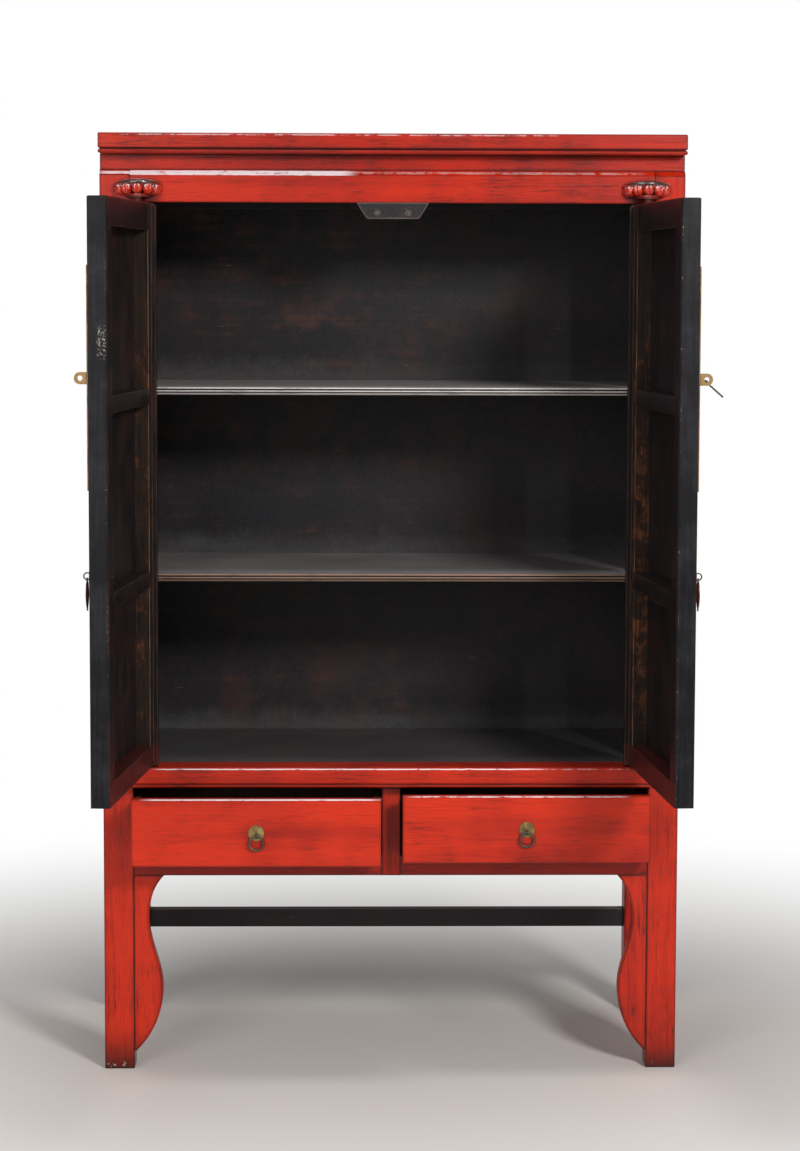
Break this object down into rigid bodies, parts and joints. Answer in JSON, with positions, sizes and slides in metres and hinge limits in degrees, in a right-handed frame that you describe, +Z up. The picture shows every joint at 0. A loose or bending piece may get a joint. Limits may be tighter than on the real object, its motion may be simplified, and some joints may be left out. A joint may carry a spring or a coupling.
{
  "type": "lacquered wedding cabinet",
  "caption": "Tall lacquered wedding cabinet: pivot-hung doors with a round brass lock plate over shelves, drawers below, and shaped spandrels on high legs.",
  "frame": {"origin": "on the floor under the centre of the four posts", "axes": "+Z up, the front and its doors face -Y, +X to the right seen from the front"},
  "size_m": [1.1183, 1.0011, 1.78],
  "materials": {
    "red_lacquer": "semi-gloss antiqued red lacquer",
    "black_lacquer": "satin black lacquer, dusty and worn",
    "drawer_wood": "plain oiled wood",
    "brass": "aged dull brass",
    "dark_iron": "dark browned iron",
    "catch_steel": "dull steel"
  },
  "bodies": {
    "cabinet": {"front_left_post": "red_lacquer", "front_right_post": "red_lacquer", "back_left_post": "red_lacquer", "back_right_post": "red_lacquer", "top_front_rail": "red_lacquer", "mid_front_rail": "red_lacquer", "lower_front_rail": "red_lacquer", "drawer_divider": "red_lacquer", "side_rails": "red_lacquer", "back_rails": "black_lacquer", "back_stretcher": "black_lacquer", "side_panels": "red_lacquer", "back_panels": "black_lacquer", "frieze_boards": "red_lacquer", "cornice_frame": "red_lacquer", "top_board": "red_lacquer", "sill_moulding": "red_lacquer", "deck_board": "black_lacquer", "upper_shelf": "black_lacquer", "lower_shelf": "black_lacquer", "shelf_cleats": "black_lacquer", "drawer_runners": "drawer_wood", "front_spandrels": "red_lacquer", "side_spandrels": "red_lacquer", "lotus_pivot_blocks": "red_lacquer", "door_stop_block": "black_lacquer", "stop_catches": "catch_steel"},
    "left_door": {"left_door_hinge_stile": "red_lacquer", "left_door_lock_stile": "red_lacquer", "left_door_rails": "red_lacquer", "left_door_panel": "red_lacquer", "left_lock_plate": "brass", "left_plate_nails": "brass", "left_hasp": "brass", "left_pull_plate": "brass", "left_pull_staple": "dark_iron"},
    "left_drop": {"left_pull_drop": "dark_iron"},
    "left_drawer": {"left_drawer_front": "red_lacquer", "left_drawer_box": "drawer_wood", "left_drawer_bottom": "drawer_wood", "left_ring_plate": "brass", "left_ring_staple": "dark_iron"},
    "left_ring": {"left_pull_ring": "dark_iron"},
    "right_door": {"right_door_hinge_stile": "red_lacquer", "right_door_lock_stile": "red_lacquer", "right_door_rails": "red_lacquer", "right_door_panel": "red_lacquer", "right_lock_plate": "brass", "right_plate_nails": "brass", "right_hasp": "brass", "right_pull_plate": "brass", "right_pull_staple": "dark_iron"},
    "right_drop": {"right_pull_drop": "dark_iron"},
    "right_drawer": {"right_drawer_front": "red_lacquer", "right_drawer_box": "drawer_wood", "right_drawer_bottom": "drawer_wood", "right_ring_plate": "brass", "right_ring_staple": "dark_iron"},
    "right_ring": {"right_pull_ring": "dark_iron"},
    "pin": {"lock_pin": "dark_iron"}
  },
  "joints": [
    {"name": "left_door_hinge", "type": "hinge", "parent": "cabinet", "child": "left_door", "pos_m": [-0.4755, -0.276, 1.1], "axis": [0, 0, 1], "range_deg": [-79.5, 95.5]},
    {"name": "right_door_hinge", "type": "hinge", "parent": "cabinet", "child": "right_door", "pos_m": [0.4755, -0.276, 1.1], "axis": [0, 0, -1], "range_deg": [-81, 94]},
    {"name": "left_drawer_slide", "type": "slide", "parent": "cabinet", "child": "left_drawer", "axis": [0, -1, 0], "range_m": [-0.112, 0.21]},
    {"name": "right_drawer_slide", "type": "slide", "parent": "cabinet", "child": "right_drawer", "axis": [0, -1, 0], "range_m": [-0.078, 0.244]},
    {"name": "left_drop_swing", "type": "hinge", "parent": "left_door", "child": "left_drop", "pos_m": [-0.53668, -0.70687, 0.995], "axis": [0.0958, 0.9954, 0], "range_deg": [0, 110]},
    {"name": "right_drop_swing", "type": "hinge", "parent": "right_door", "child": "right_drop", "pos_m": [0.52538, -0.70832, 0.995], "axis": [0.0698, -0.9976, 0], "range_deg": [0, 110]},
    {"name": "left_ring_swing", "type": "hinge", "parent": "left_drawer", "child": "left_ring", "pos_m": [-0.25425, -0.3703, 0.47475], "axis": [-1, 0, 0], "range_deg": [0, 150]},
    {"name": "right_ring_swing", "type": "hinge", "parent": "right_drawer", "child": "right_ring", "pos_m": [0.25425, -0.3363, 0.47475], "axis": [-1, 0, 0], "range_deg": [0, 150]},
    {"name": "pin_slide", "type": "slide", "parent": "right_door", "child": "pin", "axis": [0.0698, -0.9976, 0], "range_m": [0, 0.015]}
  ]
}
